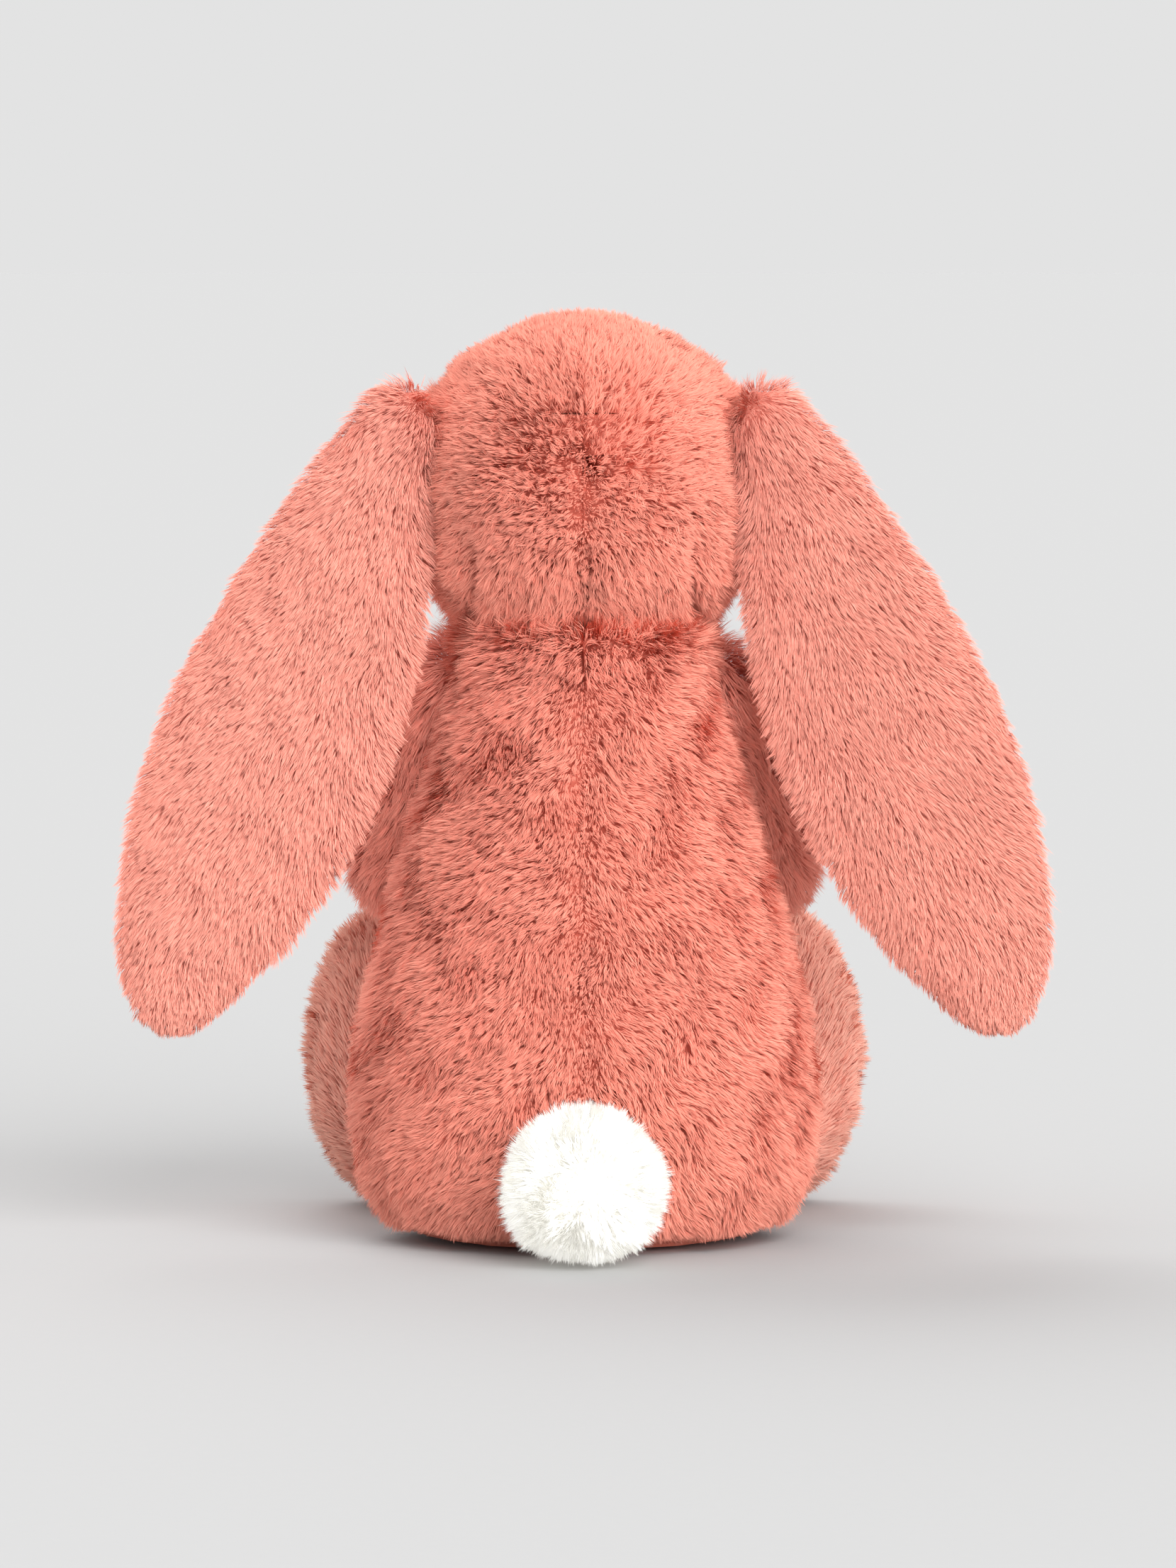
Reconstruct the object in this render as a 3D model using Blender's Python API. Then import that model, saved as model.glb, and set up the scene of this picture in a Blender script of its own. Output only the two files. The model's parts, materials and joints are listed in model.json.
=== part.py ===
"""Seated plush bunny rabbit with long lop ears: its sewn panels, fillings and eyes, each a solid of its own.

The bunny sits on z = 0 and faces -Y, so its left side is +X. Every soft form is closed and smooth. A panel
is the form's outer layer between two seams, and a filling is what the panels hold.
"""

import math
from functools import partial

import bmesh
import bpy
from mathutils import Matrix, Vector

# Driving dimensions, in metres.
PILE = 0.005  # thickness of a fur panel: its backing and the standing half of its pile
SEAM = 0.0003  # gap between two panels that are sewn together
SLACK = 0.0007  # gap between a filling and the panels around it
CLEAR = 0.0010  # gap between pieces that turn against each other
TORSO_Y = 0.0045  # the torso's axis, which puts the origin half-way between soles and tail
SIDES = (("left", 1), ("right", -1))

HEAD_CENTRE = Vector((0.0, TORSO_Y, 0.192))
HEAD_RADIUS = 0.0415  # the head below its centre is a ball, which turns in the collar of the torso
CROWN = 0.0465  # height of the head above its centre
# The head is wider than a ball at two heights. Each has a share of its width, a height and a spread.
CHEEKS = (0.135, -0.0208, 0.0070)
TEMPLES = (0.130, 0.0310, 0.0090)
NECK_RADIUS = 0.021
NECK_THICKNESS = 0.007

SIDE_SEAM_Y = TORSO_Y - 0.006
HEAD_SEAM_Y = TORSO_Y - 0.010

MUZZLE_Z = 0.184
MUZZLE_HALF = (0.026, 0.0175)  # half-width and half-height of the bulge
MUZZLE_BULGE = 0.011
MUZZLE_SEAM = (0.023, 0.0155)
NOSE = (0.0065, 0.0032, 0.0042)  # half-sizes of the stitched pad
NOSE_RISE = 0.0065  # its centre above the muzzle's
THREAD_RADIUS = 0.0006
THREAD_LIFT = 0.0013  # the stitches' centre line in front of the muzzle

EYE = Vector((0.0175, 0.0, 0.2035))
EYE_RADIUS = 0.0048
SHANK_RADIUS = 0.0016
SHANK_LENGTH = 0.011
WASHER_RADIUS = 0.0058
WASHER_THICKNESS = 0.0015
EYE_SINK = 0.0025  # the eye's back lies this deep in the pile

SHOULDER = Vector((0.0320, TORSO_Y - 0.0150, 0.1400))
PAW = Vector((0.0465, TORSO_Y - 0.0360, 0.0945))
ARM_RADIUS = 0.0125
PAW_RADIUS = 0.0138
ARM_LIFT = 75

HIP = Vector((0.0340, TORSO_Y - 0.0330, 0.0215))
HIP_RADIUS = 0.0185
FOOT_X = 0.0500
SOLE_Y = TORSO_Y - 0.0880
LEG_DROP = 60
LEG_RISE = 8

EAR_ROOT = Vector((0.0470, TORSO_Y + 0.0140, 0.2110))
EAR_ROOT_RADIUS = 0.0105
EAR_THICKNESS = 0.0110

SEAT_BAG = (0.0400, 0.0270, 0.0120)  # half-sizes of the pellet pouches
FOOT_BAG = (0.0125, 0.0080, 0.0140)

TAIL_RADIUS = 0.0190
TAIL = Vector((0.0, TORSO_Y + 0.0600, TAIL_RADIUS + 0.0008))
TAIL_PIVOT_Y = TORSO_Y + 0.0470
TAIL_SWING = 20

# Height, half-width, depth behind the axis and depth in front of it, from the seat up.
TORSO_RINGS = (
    (0.000, 0.0420, 0.0370, 0.0310),
    (0.006, 0.0520, 0.0440, 0.0390),
    (0.018, 0.0580, 0.0475, 0.0435),
    (0.037, 0.0600, 0.0480, 0.0450),
    (0.060, 0.0570, 0.0460, 0.0430),
    (0.085, 0.0505, 0.0425, 0.0390),
    (0.110, 0.0430, 0.0380, 0.0345),
    (0.135, 0.0362, 0.0335, 0.0300),
    (0.151, 0.0325, 0.0305, 0.0275),
    (0.1585, 0.0315, 0.0295, 0.0265),
)
# Height, inner edge and outer edge of a hanging ear, from its tip up.
EAR_EDGES = (
    (0.056, 0.1010, 0.1090),
    (0.060, 0.0950, 0.1140),
    (0.068, 0.0870, 0.1165),
    (0.079, 0.0765, 0.1180),
    (0.092, 0.0670, 0.1170),
    (0.108, 0.0580, 0.1145),
    (0.125, 0.0510, 0.1100),
    (0.142, 0.0460, 0.1035),
    (0.158, 0.0428, 0.0950),
    (0.173, 0.0412, 0.0860),
    (0.187, 0.0405, 0.0765),
    (0.199, 0.0395, 0.0680),
    (0.209, 0.0385, 0.0600),
    (0.2185, 0.0420, 0.0515),
)
# Distance in front of the hip, centre x and z, half-width and half-height of the leg and foot.
LEG_RINGS = (
    (0.012, 0.0365, 0.0225, 0.0180, 0.0180),
    (0.022, 0.0420, 0.0270, 0.0195, 0.0230),
    (0.031, 0.0475, 0.0350, 0.0215, 0.0325),
    (0.041, 0.0500, 0.0400, 0.0225, 0.0385),
    (0.050, 0.0500, 0.0405, 0.0220, 0.0385),
    (0.055, 0.0500, 0.0405, 0.0195, 0.0355),
)


def clear_scene():
    for obj in list(bpy.data.objects):
        bpy.data.objects.remove(obj, do_unlink=True)


def material(name, colour, roughness=0.95):
    made = bpy.data.materials.new(name)
    made.use_nodes = True
    shader = made.node_tree.nodes["Principled BSDF"]
    shader.inputs["Base Color"].default_value = (*colour, 1.0)
    shader.inputs["Roughness"].default_value = roughness
    shader.inputs["Metallic"].default_value = 0.0
    made.diffuse_color = (*colour, 1.0)
    return made


def add_object(name, bm, look=None, parent=None):
    """A mesh object at the bmesh's place; without a look it is a cutter."""
    bmesh.ops.triangulate(bm, faces=bm.faces)
    bmesh.ops.recalc_face_normals(bm, faces=bm.faces)
    mesh = bpy.data.meshes.new(name)
    bm.to_mesh(mesh)
    bm.free()
    mesh.shade_smooth()
    mesh.set_sharp_from_angle(angle=math.radians(50))
    obj = bpy.data.objects.new(name, mesh)
    bpy.context.scene.collection.objects.link(obj)
    if look:
        mesh.materials.append(look)
    else:
        obj.hide_render = True
        obj.display_type = "WIRE"
    if parent:
        obj.parent = parent
        obj.matrix_parent_inverse = Matrix.Translation(-parent.location)
    return obj


def pivot(name, place):
    """An empty on a joint's axis, which the moving pieces hang from."""
    empty = bpy.data.objects.new(name, None)
    empty.location = place
    empty.empty_display_size = 0.01
    bpy.context.scene.collection.objects.link(empty)
    return empty


def skin(rings, ends=(None, None)):
    """A closed form through rings of points; an end is capped by a point where one is given."""
    bm = bmesh.new()
    loops = [[bm.verts.new(point) for point in ring] for ring in rings]
    for lower, upper in zip(loops, loops[1:]):
        for i in range(len(lower)):
            bm.faces.new((lower[i - 1], lower[i], upper[i], upper[i - 1]))
    for loop, end in ((loops[0], ends[0]), (loops[-1], ends[1])):
        if end is None:
            bm.faces.new(loop)
            continue
        tip = bm.verts.new(end)
        for i in range(len(loop)):
            bm.faces.new((loop[i - 1], loop[i], tip))
    return bm


def turns(count):
    return [math.tau * i / count for i in range(count)]


def ball(centre, radius, around=20, up=10):
    bm = bmesh.new()
    bmesh.ops.create_uvsphere(bm, u_segments=around, v_segments=up, radius=radius)
    bmesh.ops.translate(bm, verts=bm.verts, vec=centre)
    return bm


def capsule(start, end, start_radius, end_radius, around=12, caps=3):
    """A round limb from start to end, with a half-ball at either end."""
    start, end = Vector(start), Vector(end)
    along = (end - start).normalized()
    side = along.cross(Vector((0, 0, 1))).normalized()
    out = side.cross(along)
    stations = []
    for i in range(1, caps + 1):
        bend = math.pi / 2 * i / caps
        stations.append((start - along * start_radius * math.cos(bend), start_radius * math.sin(bend)))
    stations.append(((start + end) / 2, (start_radius + end_radius) / 2))
    for i in range(caps, 0, -1):
        bend = math.pi / 2 * i / caps
        stations.append((end + along * end_radius * math.cos(bend), end_radius * math.sin(bend)))
    rings = [
        [place + (side * math.cos(a) + out * math.sin(a)) * radius for a in turns(around)]
        for place, radius in stations
    ]
    return skin(rings, (start - along * start_radius, end + along * end_radius))


def mirrored(bm, side):
    """The same form on the bunny's right for side -1."""
    bmesh.ops.scale(bm, verts=bm.verts, vec=(side, 1, 1))
    return bm


def shrunk(bm, depth):
    """The form's surface moved in by a depth, which is what its panels hold."""
    bmesh.ops.triangulate(bm, faces=bm.faces)
    bmesh.ops.recalc_face_normals(bm, faces=bm.faces)
    bm.normal_update()
    moves = [(v, v.normal * depth * v.calc_shell_factor()) for v in bm.verts]
    for vert, move in moves:
        vert.co -= move
    return bm


def bag_form(place, half_size, wall, extra=0.0):
    """A rounded pouch of pellets that lies flat against a wall, across the one axis that isn't zero."""
    bm = ball(Vector(), 1.0, around=12, up=6)
    bmesh.ops.scale(bm, verts=bm.verts, vec=[size + extra for size in half_size])
    bmesh.ops.translate(bm, verts=bm.verts, vec=place)
    for vert in bm.verts:
        for i in range(3):
            if wall[i]:
                vert.co[i] = max(vert.co[i], wall[i] - 3 * extra)
    return bm


def block(name, low, high, frame=None):
    """A box cutter given by two corners, in a frame of its own where it is slanted."""
    bm = bmesh.new()
    bmesh.ops.create_cube(bm, size=1.0)
    low, high = Vector(low), Vector(high)
    bmesh.ops.scale(bm, verts=bm.verts, vec=high - low)
    bmesh.ops.translate(bm, verts=bm.verts, vec=(low + high) / 2)
    if frame:
        bmesh.ops.transform(bm, verts=bm.verts, matrix=frame)
    return add_object(name, bm)


def oval_block(name, centre, half, low_y, high_y, around=18):
    """An oval cutter that runs along Y."""
    rings = [
        [(centre[0] + half[0] * math.cos(a), y, centre[1] + half[1] * math.sin(a)) for a in turns(around)]
        for y in (low_y, high_y)
    ]
    return add_object(name, skin(rings))


def lathe(profile, around=12):
    """A turned form about Z from (radius, height) points, each off the axis, with flat or pointed ends."""
    rings = [[(r * math.cos(a), r * math.sin(a), z) for a in turns(around)] for r, z in profile]
    return skin(rings)


def thicken(obj):
    """Leaves a panel's thickness of the form."""
    layer = obj.modifiers.new("Panel", "SOLIDIFY")
    layer.thickness = PILE
    layer.offset = -1
    layer.use_even_offset = True


def cut(obj, *cutters, keep=False):
    for cutter in cutters:
        boolean = obj.modifiers.new(cutter.name, "BOOLEAN")
        boolean.operation = "INTERSECT" if keep else "DIFFERENCE"
        boolean.object = cutter


def panel(name, bm, look, region, clearances=(), parent=None):
    """The part of a form's outer layer that lies in a region, less what its neighbours need."""
    obj = add_object(name, bm, look, parent)
    thicken(obj)
    cut(obj, region, keep=True)
    cut(obj, *clearances)
    return obj


def turned_hull(name, make_form, axis, centre, angles):
    """A cutter around every place that a form takes as it turns about a joint."""
    hull = bmesh.new()
    for angle in angles:
        form = make_form()
        turn = Matrix.Translation(centre) @ Matrix.Rotation(math.radians(angle), 4, axis)
        for vert in form.verts:
            hull.verts.new(turn @ (vert.co - centre))
        form.free()
    result = bmesh.ops.convex_hull(hull, input=hull.verts)
    spare = [item for item in result["geom_interior"] if isinstance(item, bmesh.types.BMVert)]
    bmesh.ops.delete(hull, geom=spare, context="VERTS")
    return add_object(name, hull)


# The torso: a pear with a flat seat.


def torso_form(around=20):
    rings = []
    for height, half_width, behind, front in TORSO_RINGS:
        ring = []
        for a in turns(around):
            depth = behind if math.sin(a) > 0 else front
            ring.append((half_width * math.cos(a), TORSO_Y + depth * math.sin(a), height))
        rings.append(ring)
    return skin(rings)


def neck_profile(radius, upper, lower, steps=4):
    """Outline of the neck plug: two arcs about the head's centre, joined by a straight side."""
    points = []
    for reach, order in ((lower, range(1, steps + 1)), (upper, range(steps, 0, -1))):
        for i in order:
            r = radius * i / steps
            points.append((r, -math.sqrt(reach**2 - r**2)))
    return points


def make_neck(look, parent):
    upper = HEAD_RADIUS + CLEAR
    bm = lathe(neck_profile(NECK_RADIUS, upper, upper + NECK_THICKNESS), around=16)
    bmesh.ops.translate(bm, verts=bm.verts, vec=HEAD_CENTRE)
    add_object("neck_stuffing", bm, look, parent)


def make_neck_pocket():
    reach = HEAD_RADIUS + NECK_THICKNESS + 2 * CLEAR
    profile = neck_profile(NECK_RADIUS + CLEAR, HEAD_RADIUS * 0.8, reach)
    bm = lathe(profile, around=16)
    bmesh.ops.translate(bm, verts=bm.verts, vec=HEAD_CENTRE)
    return add_object("neck_pocket_cutter", bm)


def make_torso(looks, limb_cutters):
    half = SEAM / 2
    clearances = [
        add_object("head_cutter", ball(HEAD_CENTRE, HEAD_RADIUS + CLEAR, around=20, up=12)),
        make_neck_pocket(),
        *limb_cutters,
    ]
    regions = {
        "back_left": block("back_left_cutter", (half, SIDE_SEAM_Y + half, -1), (1, 1, 1)),
        "back_right": block("back_right_cutter", (-1, SIDE_SEAM_Y + half, -1), (-half, 1, 1)),
        "belly": block("belly_cutter", (-1, -1, -1), (1, SIDE_SEAM_Y - half, 1)),
    }
    for name, region in regions.items():
        panel(name, torso_form(), looks["fur"], region, clearances)

    filling = add_object("torso_stuffing", shrunk(torso_form(14), PILE + SLACK), looks["fibre"])
    cut(filling, *clearances)
    seat = Vector((0.0, 0.0, PILE + SEAM))
    bag_place = Vector((0.0, TORSO_Y + 0.009, 0.0150))
    add_object("seat_bean_bag", bag_form(bag_place, SEAT_BAG, seat), looks["pouch"])
    cut(filling, add_object("seat_bag_cutter", bag_form(bag_place, SEAT_BAG, seat, SLACK)))


# The head: a ball below, a taller dome above, and a bulge for the muzzle in front.


def muzzle_bulge(x, z):
    q = (x / MUZZLE_HALF[0]) ** 2 + ((z - MUZZLE_Z) / MUZZLE_HALF[1]) ** 2
    return MUZZLE_BULGE * (1 - q) ** 2 if q < 1 else 0.0


def head_front(x, z):
    """Y of the head's front surface."""
    up = z - HEAD_CENTRE.z
    if up > 0:
        up *= HEAD_RADIUS / CROWN
    return HEAD_CENTRE.y - math.sqrt(HEAD_RADIUS**2 - x**2 - up**2) - muzzle_bulge(x, z)


def head_form(around=20, up=12):
    bm = ball(Vector(), HEAD_RADIUS, around, up)
    for vert in bm.verts:
        if vert.co.z > 0:
            vert.co.z *= CROWN / HEAD_RADIUS
        for share, height, spread in (CHEEKS, TEMPLES):
            vert.co.x *= 1 + share * math.exp(-(((vert.co.z - height) / spread) ** 2))
        vert.co += HEAD_CENTRE
        if vert.co.y < HEAD_CENTRE.y:
            vert.co.y -= muzzle_bulge(vert.co.x, vert.co.z)
    return bm


def face_frame(side):
    """Axes at an eye, with Z pointing out of the face."""
    place = Vector((side * EYE.x, head_front(EYE.x, EYE.z), EYE.z))
    outward = (place - HEAD_CENTRE).normalized()
    return Matrix.Translation(place) @ outward.to_track_quat("Z", "Y").to_matrix().to_4x4()


def make_eye(name, side, looks, parent):
    """A safety eye: a domed head on a shank, held inside the face by a washer."""
    frame = face_frame(side)
    dome = [(EYE_RADIUS * math.cos(b), EYE_RADIUS * 0.85 * math.sin(b)) for b in (1.4, 1.1, 0.75, 0.4, 0.0)]
    stem = [(SHANK_RADIUS, 0.0), (SHANK_RADIUS, -SHANK_LENGTH)]
    bm = lathe([(r, z - EYE_SINK) for r, z in dome + stem])
    bmesh.ops.transform(bm, verts=bm.verts, matrix=frame)
    add_object(f"eye_{name}", bm, looks["eye"], parent)

    top = -PILE - SLACK
    bore = SHANK_RADIUS + SEAM
    bottom = top - WASHER_THICKNESS
    outline = [(WASHER_RADIUS, bottom), (WASHER_RADIUS, top), (bore, top), (bore, bottom)]
    bm = bmesh.new()
    loops = [[bm.verts.new((r * math.cos(a), r * math.sin(a), z)) for a in turns(12)] for r, z in outline]
    for lower, upper in zip(loops, loops[1:] + loops[:1]):
        for i in range(len(lower)):
            bm.faces.new((lower[i - 1], lower[i], upper[i], upper[i - 1]))
    bmesh.ops.transform(bm, verts=bm.verts, matrix=frame)
    add_object(f"eye_washer_{name}", bm, looks["washer"], parent)

    wide = EYE_RADIUS + SLACK
    pocket = WASHER_RADIUS + SLACK
    hole = [
        (wide, 2 * EYE_RADIUS),
        (wide, -EYE_SINK - SEAM),
        (bore, -EYE_SINK - SEAM),
        (bore, top + SEAM),
        (pocket, top + SEAM),
        (pocket, bottom - SEAM),
        (bore, bottom - SEAM),
        (bore, -EYE_SINK - SHANK_LENGTH - SLACK),
    ]
    bm = lathe(hole)
    bmesh.ops.transform(bm, verts=bm.verts, matrix=frame)
    return add_object(f"eye_cutter_{name}", bm)


def nose_form(extra):
    bm = ball(Vector(), 1.0, around=14, up=8)
    bmesh.ops.scale(bm, verts=bm.verts, vec=[size + extra for size in NOSE])
    for vert in bm.verts:  # narrower at the bottom, as an embroidered rabbit nose is
        vert.co.x *= 1 + vert.co.z / (3 * NOSE[2])
    z = MUZZLE_Z + NOSE_RISE
    bmesh.ops.translate(bm, verts=bm.verts, vec=(0.0, head_front(0.0, z), z))
    return bm


def add_thread(name, places, look, parent):
    """A stitch that lies on the muzzle, through (x, z) places."""
    rings = []
    points = [Vector((x, head_front(x, z) - THREAD_LIFT, z)) for x, z in places]
    for i, point in enumerate(points):
        along = (points[min(i + 1, len(points) - 1)] - points[max(i - 1, 0)]).normalized()
        side = along.cross(Vector((0, 1, 0))).normalized()
        out = side.cross(along)
        rings.append([point + (side * math.cos(a) + out * math.sin(a)) * THREAD_RADIUS for a in turns(8)])
    add_object(name, skin(rings), look, parent)


def make_head(looks, parent, ear_cutters):
    half = SEAM / 2
    muzzle_centre = (0.0, MUZZLE_Z)
    around = [half_size + SEAM for half_size in MUZZLE_SEAM]
    around_muzzle = oval_block("muzzle_cutter", muzzle_centre, around, -1, HEAD_CENTRE.y)
    in_muzzle = oval_block("muzzle_region", muzzle_centre, MUZZLE_SEAM, -1, HEAD_CENTRE.y)
    eye_cutters = {name: make_eye(name, side, looks, parent) for name, side in SIDES}
    for name, side in SIDES:
        low, high = sorted((side * half, side))
        behind = block(f"head_back_{name}_cutter", (low, HEAD_SEAM_Y + half, -1), (high, 1, 1))
        front = block(f"cheek_{name}_cutter", (low, -1, -1), (high, HEAD_SEAM_Y - half, 1))
        panel(f"head_back_{name}", head_form(), looks["fur"], behind, ear_cutters, parent)
        clearances = [around_muzzle, eye_cutters[name], *ear_cutters]
        panel(f"cheek_{name}", head_form(), looks["fur"], front, clearances, parent)

    nose_cutter = add_object("nose_cutter", nose_form(SLACK))
    panel("muzzle", head_form(), looks["cream"], in_muzzle, [nose_cutter], parent)
    add_object("nose", nose_form(0.0), looks["nose"], parent)
    lip = [(0.0, MUZZLE_Z + 0.0010 - 0.0015 * i) for i in range(5)]
    add_thread("lip_thread", lip, looks["thread"], parent)
    smile = []
    for i in range(-6, 7):
        x = 0.0013 * i
        smile.append((x, MUZZLE_Z - 0.0072 - 0.0022 * math.sin(math.pi * min(abs(i) / 5, 1.1) * 0.8)))
    add_thread("mouth_thread", smile, looks["thread"], parent)

    filling = add_object("head_stuffing", shrunk(head_form(), PILE + SLACK), looks["fibre"], parent)
    cut(filling, *eye_cutters.values(), *ear_cutters, nose_cutter)


# The ears: flat leaves of a fur back and a lining, sewn together round their edge and not filled.


def ear_form(side, around=12):
    """The hanging leaf: each station is a flat oval from the inner to the outer edge."""
    rings = []
    last = len(EAR_EDGES) - 1
    for i, (height, inner, outer) in enumerate(EAR_EDGES):
        swell = math.sin(math.pi * min(1.0, (i + 1.2) / (last + 1.5)) * 0.72 + 0.25)
        thick = EAR_THICKNESS / 2 * max(0.45, swell)
        centre = (inner + outer) / 2
        ring = [
            (centre + (outer - inner) / 2 * math.cos(a), EAR_ROOT.y + thick * math.sin(a), height)
            for a in turns(around)
        ]
        rings.append(ring)
    return mirrored(skin(rings), side)


def make_ear(name, side, looks, parent):
    half = SEAM / 2
    back = block(f"ear_back_{name}_region", (-1, EAR_ROOT.y + half, -1), (1, 1, 1))
    front = block(f"ear_lining_{name}_region", (-1, -1, -1), (1, EAR_ROOT.y - half, 1))
    for piece, region, look in (("back", back, "fur"), ("lining", front, "lining")):
        obj = add_object(f"ear_{piece}_{name}", ear_form(side), looks[look], parent)
        cut(obj, region, keep=True)


def make_ear_cutter(name, side):
    """Room in the head for the ear's root, which turns about Y."""
    depth = EAR_THICKNESS / 2 + CLEAR
    radius = EAR_ROOT_RADIUS + CLEAR
    rings = [
        [(side * EAR_ROOT.x + radius * math.cos(a), y, EAR_ROOT.z + radius * math.sin(a)) for a in turns(20)]
        for y in (EAR_ROOT.y - depth, EAR_ROOT.y + depth)
    ]
    return add_object(f"ear_root_cutter_{name}", skin(rings))


# The arms: round limbs that hang from the shoulders and rest on the flanks.


def arm_form(side, extra=0.0, around=12):
    return mirrored(capsule(SHOULDER, PAW, ARM_RADIUS + extra, PAW_RADIUS + extra, around), side)


def arm_axis(side):
    """The lifting axis: level, and square to the way in which the arm leans."""
    lean = PAW - SHOULDER
    return Vector((lean.y, -side * lean.x, 0.0)).normalized()


def make_arm(name, side, looks, parent):
    axis = arm_axis(side)
    shoulder = Vector((side * SHOULDER.x, SHOULDER.y, SHOULDER.z))
    along = (Vector((side * PAW.x, PAW.y, PAW.z)) - shoulder).normalized()
    frame = Matrix((along, axis, along.cross(axis))).transposed().to_4x4()
    frame = Matrix.Translation(shoulder) @ frame
    half = SEAM / 2
    regions = {
        "outer": block(f"arm_outer_{name}_region", (-1, -1, half), (1, 1, 1), frame),
        "inner": block(f"arm_inner_{name}_region", (-1, -1, -1), (1, 1, -half), frame),
    }
    if along.cross(axis).y > 0:
        regions = {"outer": regions["inner"], "inner": regions["outer"]}
    for piece, region in regions.items():
        panel(f"arm_{piece}_{name}", arm_form(side), looks["fur"], region, (), parent)
    add_object(f"arm_stuffing_{name}", arm_form(side, -PILE - SLACK, 8), looks["fibre"], parent)


# The legs: short limbs that reach forward to tall feet, whose soles face the front.


def leg_form(side, extra=0.0, around=14):
    reach = HIP_RADIUS + extra
    rings = []
    for degrees in (15, 35, 58, 82):
        bend = math.radians(degrees)
        y = HIP.y + reach * math.cos(bend)
        r = reach * math.sin(bend)
        rings.append([(HIP.x + r * math.cos(a), y, HIP.z + r * math.sin(a)) for a in turns(around)])
    for front, x, z, half_width, half_height in LEG_RINGS:
        w, h = half_width + extra, half_height + extra
        y = HIP.y - front - (extra if front == LEG_RINGS[-1][0] else 0.0)
        rings.append([(x + w * math.cos(a), y, z + h * math.sin(a)) for a in turns(around)])
    return mirrored(skin(rings, (HIP + Vector((0, reach, 0)), None)), side)


def hip_cutter_form(side):
    reach = HIP + Vector((0.010, -0.055, 0.0))
    radius = HIP_RADIUS + 1.5 * CLEAR
    return mirrored(capsule(HIP, reach, radius, radius, around=8), side)


def make_leg(name, side, looks, parent):
    half = SEAM / 2
    hip = Vector((side * HIP.x, HIP.y, HIP.z))
    foot = Vector((side * FOOT_X, SOLE_Y, HIP.z))
    along = (foot - hip).normalized()
    frame = Matrix((Vector((0, 0, 1)).cross(along), along, Vector((0, 0, 1)))).transposed().to_4x4()
    frame = Matrix.Translation(hip) @ frame
    sole_centre = (side * FOOT_X, LEG_RINGS[-1][2])
    sole_half = (LEG_RINGS[-1][3] - 0.002, LEG_RINGS[-1][4] - 0.002)
    inside = SOLE_Y + PILE + SEAM
    sole_region = oval_block(f"sole_region_{name}", sole_centre, sole_half, -1, inside)
    around_sole = oval_block(f"sole_cutter_{name}", sole_centre, [h + SEAM for h in sole_half], -1, inside)
    regions = {
        "outer": block(f"leg_outer_{name}_region", (half, -1, -1), (1, 1, 1), frame),
        "inner": block(f"leg_inner_{name}_region", (-1, -1, -1), (-half, 1, 1), frame),
    }
    if side < 0:
        regions = {"outer": regions["inner"], "inner": regions["outer"]}
    for piece, region in regions.items():
        panel(f"leg_{piece}_{name}", leg_form(side), looks["fur"], region, [around_sole], parent)
    panel(f"sole_{name}", leg_form(side), looks["sole"], sole_region, (), parent)

    held = shrunk(leg_form(side, 0.0, 10), PILE + SLACK)
    filling = add_object(f"leg_stuffing_{name}", held, looks["fibre"], parent)
    behind_sole = Vector((0.0, SOLE_Y + PILE + SEAM, 0.0))
    bag_place = Vector((side * FOOT_X, SOLE_Y + 0.0115, 0.0250))
    bag = bag_form(bag_place, FOOT_BAG, behind_sole)
    add_object(f"foot_bean_bag_{name}", bag, looks["pouch"], parent)
    cut(filling, add_object(f"foot_bag_cutter_{name}", bag_form(bag_place, FOOT_BAG, behind_sole, SLACK)))


# The tail: a gathered ball of long white pile round a wad of fibre.


def tail_form(radius, around=16):
    return ball(TAIL, radius, around, up=8)


def make_tail(looks, parent):
    cover = add_object("tail_cover", tail_form(TAIL_RADIUS), looks["white"], parent)
    thicken(cover)
    mouth = block("tail_mouth_cutter", (-0.005, 0.0, TAIL.z - 0.005), (0.005, TAIL.y, TAIL.z + 0.005))
    cut(cover, mouth)
    add_object("tail_stuffing", tail_form(TAIL_RADIUS - PILE - SLACK, 12), looks["fibre"], parent)


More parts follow.
